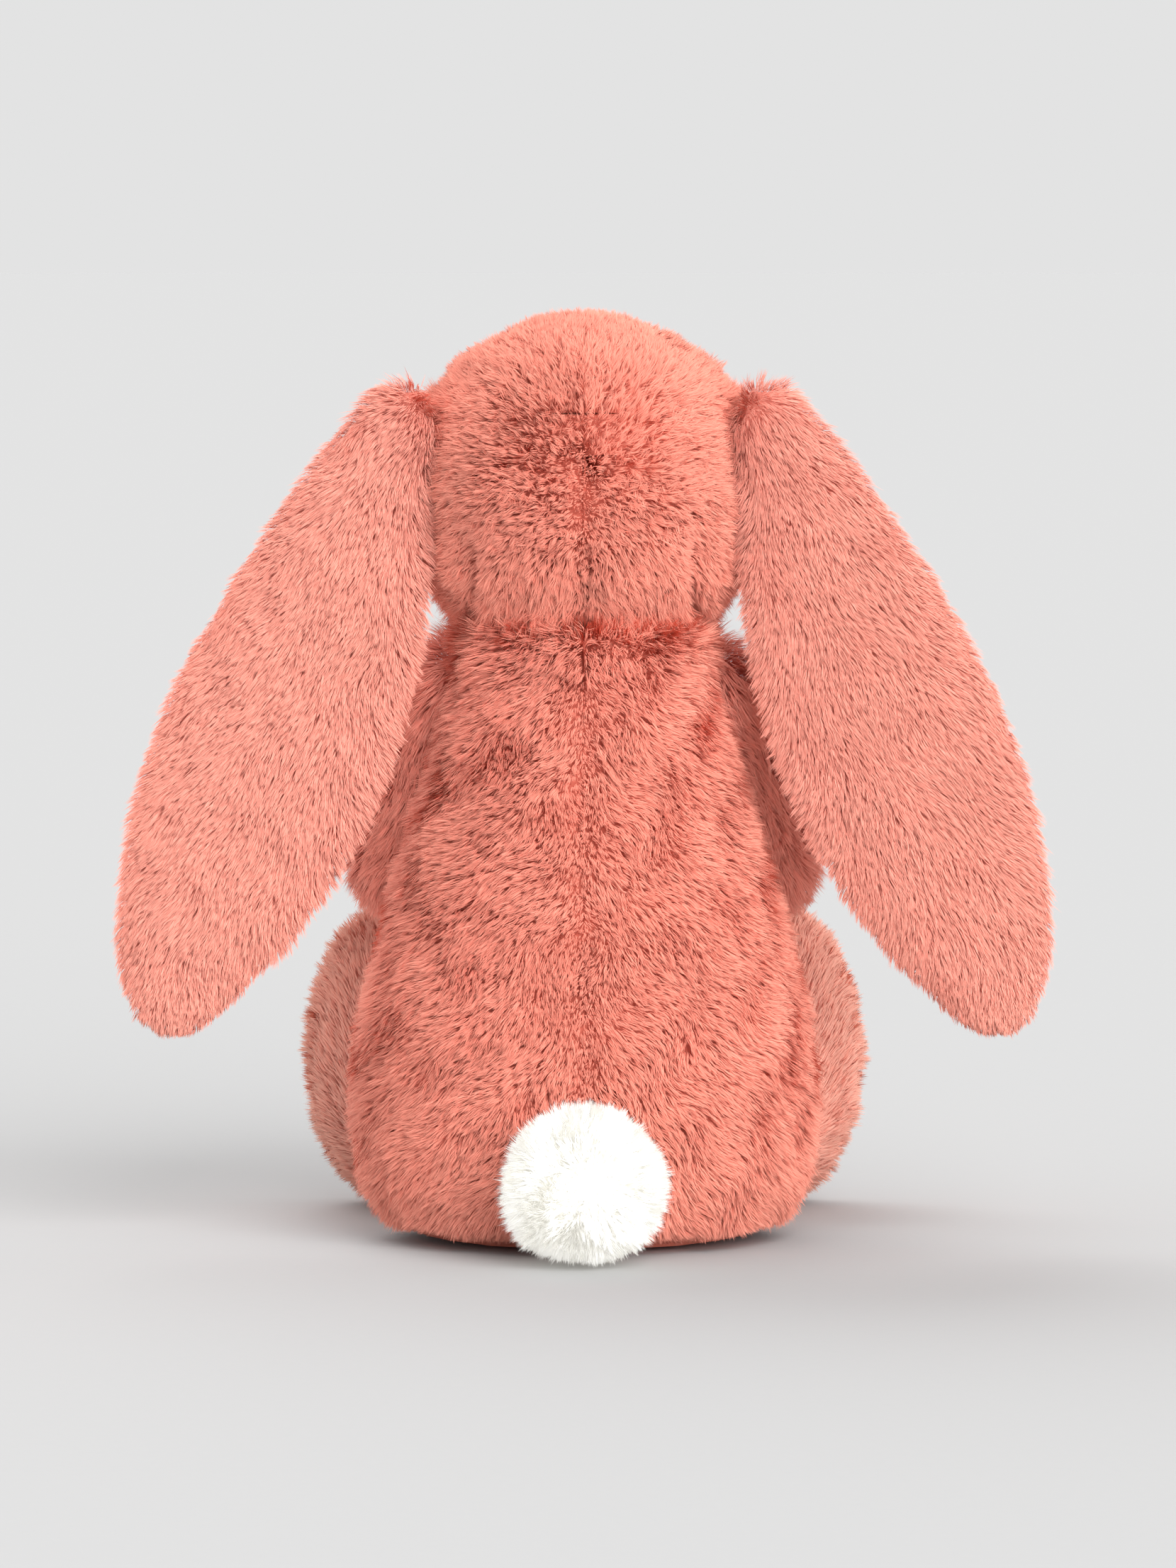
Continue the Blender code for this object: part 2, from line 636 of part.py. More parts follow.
def main():
    clear_scene()
    coral = (0.72, 0.18, 0.13)
    looks = {
        "fur": material("coral_fur", coral),
        "lining": material("ear_lining", (0.74, 0.22, 0.17)),
        "cream": material("cream_fur", (0.86, 0.80, 0.70)),
        "white": material("white_fur", (0.90, 0.88, 0.84)),
        "sole": material("sole_plush", (0.76, 0.26, 0.20)),
        "fibre": material("polyester_fibre", (0.85, 0.85, 0.84)),
        "pouch": material("pellet_pouch", (0.60, 0.58, 0.55), 0.8),
        "eye": material("black_plastic", (0.012, 0.010, 0.010), 0.12),
        "washer": material("white_plastic", (0.75, 0.75, 0.73), 0.4),
        "nose": material("nose_thread", (0.55, 0.20, 0.20), 0.6),
        "thread": material("mouth_thread", (0.45, 0.15, 0.14), 0.6),
    }
    tail_root = Vector((0.0, TAIL_PIVOT_Y, TAIL.z))
    ear_cutters, limb_cutters = [], []
    for name, side in SIDES:
        ear_root = Vector((side * EAR_ROOT.x, EAR_ROOT.y, EAR_ROOT.z))
        shoulder = Vector((side * SHOULDER.x, SHOULDER.y, SHOULDER.z))
        hip = Vector((side * HIP.x, HIP.y, HIP.z))
        make_ear(name, side, looks, pivot(f"ear_pivot_{name}", ear_root))
        make_arm(name, side, looks, pivot(f"shoulder_pivot_{name}", shoulder))
        make_leg(name, side, looks, pivot(f"hip_pivot_{name}", hip))
        ear_cutters.append(make_ear_cutter(name, side))
        lifts = (0, ARM_LIFT / 2, ARM_LIFT)
        arm_room = partial(arm_form, side, CLEAR, 8)
        limb_cutters.append(turned_hull(f"arm_cutter_{name}", arm_room, arm_axis(side), shoulder, lifts))
        drops = (LEG_DROP, LEG_DROP / 2, 0, -LEG_RISE)
        hip_room = partial(hip_cutter_form, side)
        limb_cutters.append(turned_hull(f"leg_cutter_{name}", hip_room, Vector((1, 0, 0)), hip, drops))
    swings = (-TAIL_SWING, 0, TAIL_SWING)
    tail_room = partial(tail_form, TAIL_RADIUS + CLEAR, 10)
    limb_cutters.append(turned_hull("tail_cutter", tail_room, Vector((0, 0, 1)), tail_root, swings))
    make_torso(looks, limb_cutters)
    make_neck(looks["fibre"], pivot("neck_pivot", HEAD_CENTRE))
    make_head(looks, pivot("head_pivot", HEAD_CENTRE), ear_cutters)
    make_tail(looks, pivot("tail_pivot", tail_root))


main()
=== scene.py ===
import json
import math

import bpy
import numpy as np
from mathutils import Matrix, Vector
from mathutils.bvhtree import BVHTree
from mathutils.kdtree import KDTree

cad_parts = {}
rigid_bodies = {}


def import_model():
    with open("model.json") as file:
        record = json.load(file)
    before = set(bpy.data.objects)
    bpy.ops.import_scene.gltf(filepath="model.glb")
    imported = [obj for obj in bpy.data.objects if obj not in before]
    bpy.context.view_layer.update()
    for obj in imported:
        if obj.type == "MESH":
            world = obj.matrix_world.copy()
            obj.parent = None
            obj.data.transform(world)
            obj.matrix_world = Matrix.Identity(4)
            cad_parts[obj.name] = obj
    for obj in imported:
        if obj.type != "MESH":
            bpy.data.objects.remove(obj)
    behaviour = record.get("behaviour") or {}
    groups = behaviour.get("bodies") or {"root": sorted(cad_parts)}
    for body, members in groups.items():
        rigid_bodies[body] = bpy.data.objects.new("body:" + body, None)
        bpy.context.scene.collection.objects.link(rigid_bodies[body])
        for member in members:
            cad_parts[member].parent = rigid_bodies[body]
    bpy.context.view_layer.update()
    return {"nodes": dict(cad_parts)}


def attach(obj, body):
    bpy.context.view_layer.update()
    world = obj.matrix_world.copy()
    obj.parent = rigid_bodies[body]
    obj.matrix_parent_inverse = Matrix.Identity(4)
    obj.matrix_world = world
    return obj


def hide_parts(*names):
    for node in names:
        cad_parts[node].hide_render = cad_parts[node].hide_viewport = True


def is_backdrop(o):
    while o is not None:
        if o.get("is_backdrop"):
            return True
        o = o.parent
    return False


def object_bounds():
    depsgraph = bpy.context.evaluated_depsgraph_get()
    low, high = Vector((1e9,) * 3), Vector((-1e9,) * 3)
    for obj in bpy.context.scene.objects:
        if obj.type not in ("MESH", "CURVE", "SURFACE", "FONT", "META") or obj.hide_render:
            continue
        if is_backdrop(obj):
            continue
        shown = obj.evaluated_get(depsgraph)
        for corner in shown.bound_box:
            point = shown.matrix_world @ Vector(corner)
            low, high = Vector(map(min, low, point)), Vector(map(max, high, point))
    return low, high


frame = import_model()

# THE TORSO'S COAT. Three panels of long-pile plush, a knitted backing with tufts of polyester brushed out.
# They are cut so that the nap runs down, and sewn edge to edge: the dark line down the back is that seam,
# where the machine catches the pile and the tufts part to either side.
BODY_Y = 0.0045  # the torso's axis
TAIL_CENTRE = np.array((0.0, BODY_Y + 0.060, 0.0198))
SHOULDER = np.array((0.032, BODY_Y - 0.015, 0.140))
PAW = np.array((0.0465, BODY_Y - 0.036, 0.0945))
HIP = np.array((0.034, BODY_Y - 0.033, 0.0215))
HEAD_CENTRE = np.array((0.0, BODY_Y, 0.192))


class Amount:
    """A value that changes over a surface. Sums and products of it add the Math nodes that work them out."""

    def __init__(self, finish, socket):
        self.finish = finish
        self.socket = socket

    def worked(self, operation, first, second=0.0):
        return self.finish.math(operation, first, second)

    def __add__(self, other):
        return self.worked("ADD", self, other)

    def __sub__(self, other):
        return self.worked("SUBTRACT", self, other)

    def __rsub__(self, other):
        return self.worked("SUBTRACT", other, self)

    def __mul__(self, other):
        return self.worked("MULTIPLY", self, other)

    __radd__ = __add__
    __rmul__ = __mul__


class Finish:
    """A material. Its plain sockets are set as numbers, and what varies is fed by nodes added one by one."""

    def __init__(self, name, **constants):
        self.material = bpy.data.materials.new(name)
        self.material.use_nodes = True
        self.tree = self.material.node_tree
        self.shader = self.tree.nodes["Principled BSDF"]
        for socket, value in constants.items():
            self.shader.inputs[socket.replace("_", " ")].default_value = value

    def node(self, kind, settings=None, inputs=None):
        made = self.tree.nodes.new("ShaderNode" + kind)
        for setting, value in (settings or {}).items():
            setattr(made, setting, value)
        for socket, value in (inputs or {}).items():
            self.feed(made.inputs[socket], value)
        return made

    def feed(self, socket, value):
        if isinstance(value, Amount):
            value = value.socket
        if isinstance(value, bpy.types.NodeSocket):
            self.tree.links.new(value, socket)
        else:
            socket.default_value = value

    def math(self, operation, first, second=0.0):
        made = self.node("Math", {"operation": operation}, {0: first, 1: second})
        return Amount(self, made.outputs[0])

    def mixed(self, share, first, second):
        made = self.node("Mix", {"data_type": "RGBA"}, {0: share, 6: first, 7: second})
        return made.outputs[2]

    def scaled(self, colour, amount):
        made = self.node("VectorMath", {"operation": "SCALE"}, {0: colour, 3: amount})
        return made.outputs[0]

    def place(self):
        return self.node("TexCoord").outputs["Object"]

    def noise(self, scale, detail=2.0, roughness=0.5, distortion=0.0, place=None):
        inputs = {"Vector": place or self.place(), "Scale": scale, "Detail": detail}
        inputs |= {"Roughness": roughness, "Distortion": distortion}
        return Amount(self, self.node("TexNoise", {}, inputs).outputs[0])

    def bumped(self, height, distance, strength=1.0):
        made = self.node("Bump", {}, {"Height": height, "Distance": distance, "Strength": strength})
        self.feed(self.shader.inputs["Normal"], made.outputs[0])


def pile_finish(name, root, tip, patchiness=0.22, sheen=0.12):
    """Brushed fibre: paler at the tip, painted shade making it deep coloured at the root, no two tufts quite
    alike.
    """
    finish = Finish(name, Roughness=0.85, Sheen_Weight=sheen, Sheen_Roughness=0.45, Specular_IOR_Level=0.15)
    finish.shader.inputs["Sheen Tint"].default_value = (*tip, 1.0)
    pile = finish.node("Attribute", {"attribute_name": "pile"})
    parts = finish.node("SeparateColor", {}, {"Color": pile.outputs["Color"]})
    along, tuft, strand = (Amount(finish, parts.outputs[i]) for i in range(3))
    patch = finish.noise(48.0, detail=3.0)
    # Painted shade: the colour darkens from tip to root, for the shadow deep down in the pile.
    colour = finish.mixed(along, (*root, 1.0), (*tip, 1.0))
    light = 1.0 - 0.5 * patchiness + patchiness * patch + 0.16 * (tuft - 0.5) + 0.10 * (strand - 0.5)
    finish.feed(finish.shader.inputs["Base Color"], finish.scaled(colour, light))
    return finish.material


def unit(vectors):
    lengths = np.linalg.norm(vectors, axis=-1, keepdims=True)
    return vectors / np.maximum(lengths, 1e-12)


def dots(first, second):
    return (first * second).sum(-1, keepdims=True)


def eased(value, low, high):
    """0 below low, 1 above high, and a smooth way between them."""
    t = np.clip((value - low) / (high - low), 0.0, 1.0)
    return t * t * (3 - 2 * t)


def drift(places, wavelength, seed):
    """A smooth wandering value, mostly between -1 and 1: nap is never combed dead even."""
    draw = np.random.default_rng(seed)
    ways = unit(draw.normal(size=(7, 3))) * draw.uniform(0.7, 1.4, (7, 1)) * math.tau / wavelength
    return np.sin(places @ ways.T + draw.uniform(0, math.tau, 7)).sum(1) / math.sqrt(7)


def panel_mesh(node):
    """A panel's points and triangles, with the points that its triangles share made one."""
    mesh = frame["nodes"][node].data
    points = np.empty(len(mesh.vertices) * 3, np.float32)
    mesh.vertices.foreach_get("co", points)
    corners = np.empty(len(mesh.loops), np.int32)
    mesh.loops.foreach_get("vertex_index", corners)
    points = points.reshape(-1, 3).astype(float)
    _, first, joined = np.unique(np.round(points, 6), axis=0, return_index=True, return_inverse=True)
    faces = joined.reshape(-1)[corners].reshape(-1, 3)
    proper = (faces != np.roll(faces, 1, axis=1)).all(1)
    return points[first], faces[proper]


def form_tree(*nodes):
    """All panels of one form, to ask whether a face looks out of it or at another panel."""
    points, faces, count = [], [], 0
    for node in nodes:
        some, triangles = panel_mesh(node)
        points.append(some)
        faces.append(triangles + count)
        count += len(some)
    return BVHTree.FromPolygons(np.concatenate(points).tolist(), np.concatenate(faces).tolist())


def new_piece(name, points, corners, starts, material):
    mesh = bpy.data.meshes.new(name)
    mesh.vertices.add(len(points))
    mesh.vertices.foreach_set("co", points.astype(np.float32).ravel())
    mesh.loops.add(len(corners))
    mesh.loops.foreach_set("vertex_index", corners.astype(np.int32))
    mesh.polygons.add(len(starts))
    mesh.polygons.foreach_set("loop_start", starts.astype(np.int32))
    mesh.polygons.foreach_set("use_smooth", np.ones(len(starts), bool))
    mesh.update(calc_edges=True)
    mesh.materials.append(material)
    piece = bpy.data.objects.new(name, mesh)
    bpy.context.scene.collection.objects.link(piece)
    return piece


TOSS = 110  # degrees that upright tufts may turn, where nothing lays the nap down
STRAYS = 0.08  # share of strands that don't gather into their tuft
KNEE = 0.55  # how far up a strand its knee is
LOWEST = 0.0003  # metres that the coat stays above the floor


def grow_coat(node, form, material, nap, comb, trim=None, seed=1):
    """The coat that stands for a panel: a backing sunk below the panel's face, and the pile rooted in it."""
    points, faces = panel_mesh(node)
    a, b, c = points[faces].transpose(1, 0, 2)
    crossed = np.cross(b - a, c - a)
    areas = np.linalg.norm(crossed, axis=1) / 2
    normals = unit(crossed)
    centres = (a + b + c) / 3 + normals * 2e-5
    outward = [form.ray_cast(Vector(p), Vector(n), 0.15)[0] is None for p, n in zip(centres, normals)]
    outward = np.flatnonzero(np.array(outward) & (areas > 1e-10))
    skin = np.zeros_like(points)
    for corner in range(3):
        np.add.at(skin, faces[outward, corner], crossed[outward])
    skin = unit(skin)
    depth = nap["depth"](points) if callable(nap["depth"]) else np.full(len(points), nap["depth"])
    backing = points - skin * depth[:, None]

    draw = np.random.default_rng(seed)
    reach = np.cumsum(areas[outward])
    count = int(reach[-1] * 1e6 * nap["per_mm2"])
    places = (np.arange(count) + draw.random(count)) / count * reach[-1]
    picked = faces[outward[np.minimum(np.searchsorted(reach, places), len(outward) - 1)]]
    u, v = draw.random((2, count))
    folded = u + v > 1
    u, v = np.where(folded, 1 - u, u), np.where(folded, 1 - v, v)
    shares = np.stack([1 - u - v, u, v], 1)[:, :, None]
    roots = (backing[picked] * shares).sum(1)
    outs = unit((skin[picked] * shares).sum(1))
    if trim is not None:
        factor = trim(roots)
        kept = factor > 0.02
        roots, outs, factor = roots[kept], outs[kept], factor[kept]
        count = len(roots)
    else:
        factor = np.ones(count)

    leaders = draw.choice(count, max(1, count // nap["tuft"]), replace=False)
    tree = KDTree(len(leaders))
    for i, leader in enumerate(leaders):
        tree.insert(roots[leader], i)
    tree.balance()
    owner = np.array([tree.find(root)[1] for root in roots])
    tuft_turn, tuft_lean, tuft_size = draw.normal(size=(3, len(leaders)))[:, owner]
    tuft_tone = draw.random(len(leaders))[owner]
    own_turn, own_lean, own_size = draw.normal(size=(3, count))

    flow = comb(roots)
    laid = np.minimum(1.0, np.linalg.norm(flow, axis=1))
    flow = unit(flow - outs * dots(flow, outs))
    across = np.cross(outs, flow)
    turn = nap["sway"] * drift(roots, 0.020, seed + 1) + nap["stray"] * (tuft_turn + 0.6 * own_turn)
    turn = np.radians(turn + TOSS * (1 - laid) ** 2 * tuft_turn)
    heading = flow * np.cos(turn)[:, None] + across * np.sin(turn)[:, None]
    lean = nap["lean"] * laid + 8 * drift(roots, 0.012, seed + 2) + 6 * tuft_lean + 5 * own_lean
    lean = np.clip(lean, 4, 80)
    uneven = 1 + 0.10 * tuft_size + 0.07 * own_size + 0.06 * drift(roots, 0.016, seed + 3)
    long = nap["length"] * factor * uneven
    curl = nap["curl"] * (0.3 + 0.7 * laid)
    knee_bend, tip_bend = np.radians(lean - curl), np.radians(lean + curl)
    low, high = (KNEE * long)[:, None], ((1 - KNEE) * long)[:, None]
    knees = roots + low * (outs * np.cos(knee_bend)[:, None] + heading * np.sin(knee_bend)[:, None])
    tips = knees + high * (outs * np.cos(tip_bend)[:, None] + heading * np.sin(tip_bend)[:, None])
    pull = nap["gather"] * draw.uniform(0.6, 1.15, count) * np.where(draw.random(count) < STRAYS, 0.2, 1.0)
    chief = leaders[owner]
    knees = knees + 0.4 * pull[:, None] * (knees[chief] - knees)
    tips = tips + pull[:, None] * (tips[chief] - tips)

    along = unit(tips - roots)
    wide = unit(np.cross(along, outs))
    roll = draw.uniform(-0.6, 0.6, count)[:, None]
    wide = wide * np.cos(roll) + np.cross(along, wide) * np.sin(roll)
    if "axis" in nap:
        onlooker = (roots - nap["axis"]) * np.array((1.0, 1.0, 0.0))
        wide = wide * np.where(dots(np.cross(wide, along), onlooker) < 0, -1.0, 1.0)
    facing = unit(nap["soft"] * outs + (1 - nap["soft"]) * np.cross(wide, along))
    half = wide * nap["width"] / 2 * draw.uniform(0.8, 1.2, count)[:, None]
    strands = np.stack([roots, knees + half, tips, knees - half], 1)
    base = len(backing)
    strand_corners = base + np.arange(4 * count)
    strand_starts = 3 * len(faces) + 4 * np.arange(count)
    everything = np.concatenate([backing, strands.reshape(-1, 3)])
    everything[:, 2] = np.maximum(everything[:, 2], LOWEST)
    corners = np.concatenate([faces.ravel(), strand_corners])
    starts = np.concatenate([3 * np.arange(len(faces)), strand_starts])
    coat = new_piece(node + "_coat", everything, corners, starts, material)
    if nap["soft"] > 0:
        shading = np.concatenate([np.zeros_like(backing), np.repeat(facing, 4, axis=0)])
        coat.data.normals_split_custom_set_from_vertices(shading.astype(np.float32))

    # The pile attribute's first channel runs from root (0) to tip (1), backing at 0.3; the finish paints shade
    # deeper towards the root with it.
    tone = np.zeros((len(everything), 4), np.float32)
    tone[:, 0] = 0.3
    tone[:, 1:] = 0.5
    by_strand = tone[base:].reshape(-1, 4, 4)
    by_strand[:, :, 0] = np.array([0.0, 0.6, 1.0, 0.6])
    by_strand[:, :, 1] = tuft_tone[:, None]
    by_strand[:, :, 2] = draw.random(count)[:, None]
    pile = coat.data.attributes.new("pile", "FLOAT_COLOR", "POINT")
    pile.data.foreach_set("color", tone.ravel())
    return coat


def dress(piece, body, nodes):
    """Hangs a soft piece on its body, in place of the panels or filling that it stands for."""
    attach(piece, body)
    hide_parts(*nodes)


def beside(places, start, end):
    """Distance from a limb's centre line."""
    way = end - start
    share = np.clip((places - start) @ way / (way @ way), 0, 1)
    return np.linalg.norm(places - (start + share[:, None] * way), axis=1)


def torso_comb(places):
    x = places[:, 0]
    side = np.tanh(x / 0.004)
    spread = 0.22 + 10.0 * np.minimum(np.abs(x), 0.04)
    behind = np.where(places[:, 1] > BODY_Y, 1.0, 0.5)
    rim = eased(places[:, 2], 0.138, 0.158)
    flow = np.stack([side * spread * behind * (1 - 0.8 * rim), 0 * x, -np.ones(len(x))], 1)
    return flow * (1 - 0.4 * rim)[:, None]


def torso_trim(places):
    """Pile is short where a limb or the seat presses on it, in the back seam, and under the head."""
    size = 0.55 + 0.45 * eased(np.abs(places[:, 0]), 0.0005, 0.004)
    size = np.where((places[:, 1] < BODY_Y) | (places[:, 2] > 0.145), 1.0, size)
    for side in (-1, 1):
        mirror = np.array((side, 1, 1))
        size = np.minimum(size, 0.35 + eased(beside(places, SHOULDER * mirror, PAW * mirror), 0.014, 0.022))
        foot = np.array((0.050, BODY_Y - 0.060, 0.040))
        size = np.minimum(size, 0.35 + eased(beside(places, HIP * mirror, foot * mirror), 0.020, 0.028))
    size = np.minimum(size, 0.20 + eased(places[:, 2], 0.002, 0.013))
    size = size * (1 + 0.30 * eased(places[:, 2], 0.143, 0.152))
    below_head = np.linalg.norm(places - HEAD_CENTRE, axis=1) < 0.0395
    size = np.where(below_head, 0.5 * (places[:, 2] > 0.149), size)
    return np.where(np.linalg.norm(places - TAIL_CENTRE, axis=1) < 0.0225, 0.0, size)


coral = pile_finish("coral_pile", root=(0.70, 0.150, 0.098), tip=(0.985, 0.380, 0.282))
long_nap = {
    "per_mm2": 6.2, "length": 0.0064, "width": 0.00025, "depth": 0.0036, "lean": 27, "curl": 16,
    "tuft": 6, "gather": 0.36, "sway": 26, "stray": 12, "soft": 0.6,
}
belly_nap = long_nap | {"per_mm2": 4.2, "width": 0.00031}
torso_panels = ("back_left", "back_right", "belly")
torso_form = form_tree(*torso_panels)
for number, node in enumerate(torso_panels):
    nap = belly_nap if node == "belly" else long_nap
    coat = grow_coat(node, torso_form, coral, nap, torso_comb, torso_trim, seed=10 + number)
    dress(coat, "torso", [node])

# THE HEAD'S COAT. Four panels of the same plush make the ball of the head, and a bulged oval of short cream
# pile is let into the front for the muzzle. The nap stands nearly upright in a wide whorl on the back of the
# head, and lies away from it all round; on the face it lies outwards from the bridge of the nose.
MUZZLE_CENTRE = np.array((0.0, BODY_Y - 0.0505, 0.184))
WHORL = np.array((0.0, BODY_Y + 0.0370, 0.2070))
EYE = np.array((0.0175, 0.0, 0.2035))


def muzzle_bulge(x, z):
    q = (x / 0.026) ** 2 + ((z - MUZZLE_CENTRE[2]) / 0.0175) ** 2
    return 0.011 * (1 - q) ** 2 if q < 1 else 0.0


def head_front(x, z):
    """Y of the front of the face."""
    up = z - HEAD_CENTRE[2]
    up *= 0.0415 / 0.0465 if up > 0 else 1.0
    return HEAD_CENTRE[1] - math.sqrt(0.0415**2 - x**2 - up**2) - muzzle_bulge(x, z)


eye_places = [np.array((side * EYE[0], head_front(EYE[0], EYE[2]), EYE[2])) for side in (1, -1)]
nose_place = np.array((0.0, head_front(0.0, 0.1905), 0.1905))


def head_comb(places):
    away = places - WHORL
    x = places[:, 0]
    parting = 0.02 * np.tanh(x / 0.003) * np.exp(-np.abs(x) / 0.007)
    away[:, 0] += np.where((places[:, 1] > BODY_Y) & (places[:, 2] < 0.206), parting, 0.0)
    far = np.linalg.norm(away * np.where(away[:, 2:] > 0, 1.25, 1.0), axis=1)
    upright = 1 - 0.55 * eased(BODY_Y - places[:, 1], -0.008, 0.006)
    upright *= 1 - 0.35 * eased(-places[:, 2], -0.172, -0.160)
    tossed = np.stack([drift(places, 0.006, seed) for seed in (301, 302, 303)], 1)
    flow = unit(away) * (np.minimum(1.0, (far / 0.040) ** 1.5) * upright)[:, None]
    return flow + 0.28 * tossed * (1 - eased(far, 0.006, 0.030))[:, None]


def face_comb(places):
    return (places - np.array((0.0, BODY_Y - 0.046, 0.198))) / 0.012 + np.array((0.0, 0.0, -0.4))


def head_trim(places):
    size = np.ones(len(places))
    seam = 0.40 + 0.60 * eased(np.abs(places[:, 0]), 0.0004, 0.0035)
    crease = np.exp(-(((np.abs(places[:, 0]) - 0.0255) / 0.0014) ** 2))
    crease = crease * (1 - eased(places[:, 2], 0.176, 0.188))
    size = np.where((places[:, 1] > BODY_Y) & (places[:, 2] < 0.203), seam * (1 - 0.6 * crease), size)
    face = eased(BODY_Y - places[:, 1], 0.008, 0.026)
    size = size * (1 - 0.30 * face) * (1 - 0.20 * eased(places[:, 2], 0.218, 0.234))
    brow = eased(places[:, 2], 0.200, 0.215) * (1 - eased(BODY_Y - places[:, 1], 0.014, 0.024))
    size = size * (1 - 0.4 * brow * (places[:, 1] < BODY_Y - 0.0095))
    jowl = (0.7 + 0.3 * eased(np.abs(places[:, 0]), 0.014, 0.028)) * eased(-places[:, 2], -0.174, -0.160)
    size = size * (1 + 1.1 * jowl * (1 - face))
    for eye in eye_places:
        gap = np.linalg.norm(places - eye, axis=1)
        size = np.where(gap < 0.0056, 0.0, size * (0.42 + 0.58 * eased(gap, 0.005, 0.012)))
    around = np.hypot(places[:, 0] / 0.023, (places[:, 2] - MUZZLE_CENTRE[2]) / 0.0155)
    near = np.where(places[:, 1] < BODY_Y - 0.015, 0.55 + 0.45 * eased(around, 1.0, 1.5), 1.0)
    for side in (-1, 1):
        root = np.array((side * 0.047, BODY_Y + 0.014, 0.211))
        flat = np.hypot(places[:, 0] - root[0], places[:, 2] - root[2])
        deep = np.abs(places[:, 1] - root[1]) < 0.0075
        size = np.where((flat < 0.0080) & deep, 0.0, size)
        size = size * np.where(deep & (flat < 0.0105), 0.7, 1 + 0.9 * (1 - eased(flat, 0.0105, 0.0170)))
    return size * near


head_panels = ("head_back_left", "head_back_right", "cheek_left", "cheek_right", "muzzle")
head_form = form_tree(*head_panels)
head_nap = long_nap | {"per_mm2": 7.6, "length": 0.0060, "lean": 29, "gather": 0.44, "tuft": 8, "stray": 26}
head_nap |= {"axis": HEAD_CENTRE - np.array((0.0, 0.0115, 0.0))}
for number, (node, comb) in enumerate(zip(head_panels, (head_comb, head_comb, face_comb, face_comb))):
    coat = grow_coat(node, head_form, coral, head_nap, comb, head_trim, seed=20 + number)
    dress(coat, "head", [node])


def muzzle_comb(places):
    return (places - nose_place) / 0.004


def muzzle_trim(places):
    shape = np.hypot(places[:, 0] / 0.0068, (places[:, 2] - nose_place[2]) / 0.0045)
    size = np.where(shape < 0.95, 0.0, 0.45 + 0.55 * eased(shape, 1.0, 2.0))
    lip = (np.abs(places[:, 0]) < 0.0008) & (places[:, 2] < 0.186) & (places[:, 2] > 0.1765)
    bow = 0.1768 - 0.0022 * np.sin(math.pi * np.minimum(np.abs(places[:, 0]) / 0.0065, 1.1) * 0.8)
    smile = (np.abs(places[:, 2] - bow) < 0.0009) & (np.abs(places[:, 0]) < 0.0085)
    return np.where(lip | smile, 0.25, size)


cream = pile_finish("cream_pile", root=(0.60, 0.46, 0.34), tip=(0.88, 0.78, 0.66), patchiness=0.10)
short_nap = {
    "per_mm2": 6.0, "length": 0.0034, "width": 0.00026, "depth": 0.0016, "lean": 38, "curl": 10,
    "tuft": 5, "gather": 0.35, "sway": 14, "stray": 10, "soft": 0.6,
}
coat = grow_coat("muzzle", head_form, cream, short_nap, muzzle_comb, muzzle_trim, seed=29)
dress(coat, "head", ["muzzle"])

# THE EARS. Each is a flat leaf of two panels with no filling, long pile behind and a shorter plush in front,
# pinched at the root where it is sewn into the head. The nap runs from the root to the tip and out to the edge,
# where it hides the seam.
EAR_PLANE = BODY_Y + 0.014
EAR_LEVELS = (
    0.056, 0.060, 0.068, 0.079, 0.092, 0.108, 0.125,
    0.142, 0.158, 0.173, 0.187, 0.199, 0.209, 0.2185,
)
EAR_INNER = (
    0.101, 0.095, 0.087, 0.0765, 0.067, 0.058, 0.051,
    0.046, 0.0428, 0.0412, 0.0405, 0.0395, 0.0385, 0.042,
)
EAR_OUTER = (
    0.109, 0.114, 0.1165, 0.118, 0.117, 0.1145, 0.110,
    0.1035, 0.095, 0.086, 0.0765, 0.068, 0.060, 0.0515,
)


def ear_comb(places):
    x, z = places[:, 0], places[:, 2]
    inner, outer = (np.interp(z, EAR_LEVELS, edge) for edge in (EAR_INNER, EAR_OUTER))
    share = np.clip((np.abs(x) - inner) / (outer - inner), 0, 1)
    out = (0.05 + 0.95 * share) * eased(z, 0.052, 0.110) + 0.10
    out = out - 0.9 * (1 - eased(share, 0.0, 0.16)) * eased(z, 0.070, 0.110)
    root = eased(z, 0.196, 0.210)
    out = out * (1 - root) + (0.45 + 0.5 * share) * root
    return np.stack([np.sign(x) * out, 0 * x, 0.95 * eased(z, 0.210, 0.218) - 1.0], 1)


def ear_trim(places):
    x, z = places[:, 0], places[:, 2]
    inner = np.interp(z, EAR_LEVELS, EAR_INNER)
    hem = eased(z, 0.185, 0.205) * (1 - eased(np.abs(x) - inner, 0.002, 0.010))
    return 1 + 0.3 * hem - 0.35 * (1 - eased(z, 0.058, 0.078))


def ear_depth(points):
    return np.minimum(0.0026, 0.55 * np.abs(points[:, 1] - EAR_PLANE))


def lining_depth(points):
    return np.minimum(0.0014, 0.4 * np.abs(points[:, 1] - EAR_PLANE))


